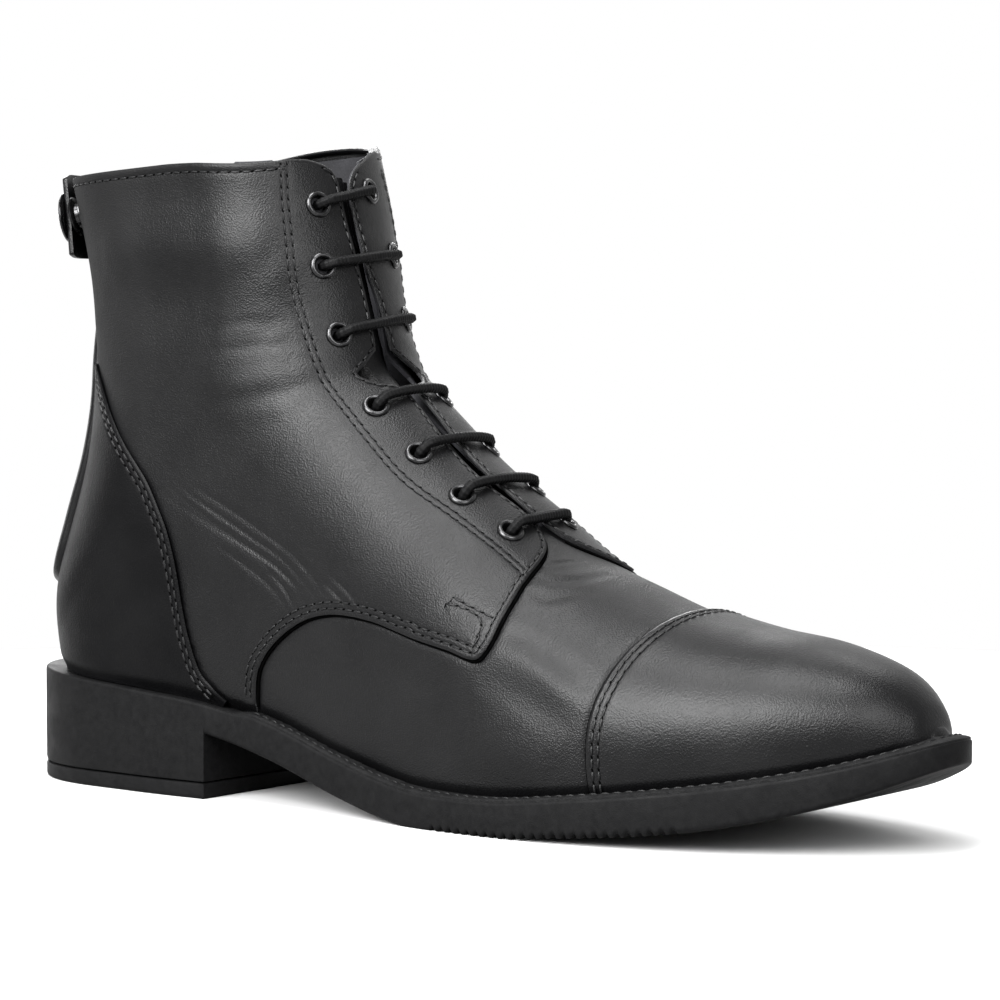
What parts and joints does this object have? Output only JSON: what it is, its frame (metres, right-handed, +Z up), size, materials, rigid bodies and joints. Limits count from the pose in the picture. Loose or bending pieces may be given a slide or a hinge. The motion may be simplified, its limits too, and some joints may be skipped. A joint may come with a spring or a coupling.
{
  "type": "jodhpur boot",
  "caption": "Ankle-high black leather riding boot with laced front, toe cap, heel counter, covered back zip with snap tab, and a low-heeled rubber sole.",
  "frame": {"origin": "on the floor, under the middle of the sole's length and width", "axes": "+X towards the toe, +Y towards the inner side of the foot, +Z up"},
  "size_m": [0.3006, 0.0948, 0.1819],
  "materials": {
    "leather": "smooth, satin, fine grain",
    "welt_leather": "matt, stitched",
    "lining": "matt",
    "rubber": "matt",
    "cord": "braided",
    "metal": "black lacquer, glossy"
  },
  "bodies": {
    "root": {"outsole": "rubber", "heel_lift": "rubber", "welt": "welt_leather", "insole": "lining", "upper": "leather", "toe_cap": "leather", "counter": "leather", "tongue": "lining", "zip_strip": "leather", "snap_tab": "leather", "snap_stud": "metal", "snap_cap": "metal", "eyelet_outer_1": "metal", "eyelet_outer_2": "metal", "eyelet_outer_3": "metal", "eyelet_outer_4": "metal", "eyelet_outer_5": "metal", "eyelet_outer_6": "metal", "eyelet_outer_7": "metal", "eyelet_inner_1": "metal", "eyelet_inner_2": "metal", "eyelet_inner_3": "metal", "eyelet_inner_4": "metal", "eyelet_inner_5": "metal", "eyelet_inner_6": "metal", "eyelet_inner_7": "metal", "lace": "cord"}
  },
  "joints": []
}
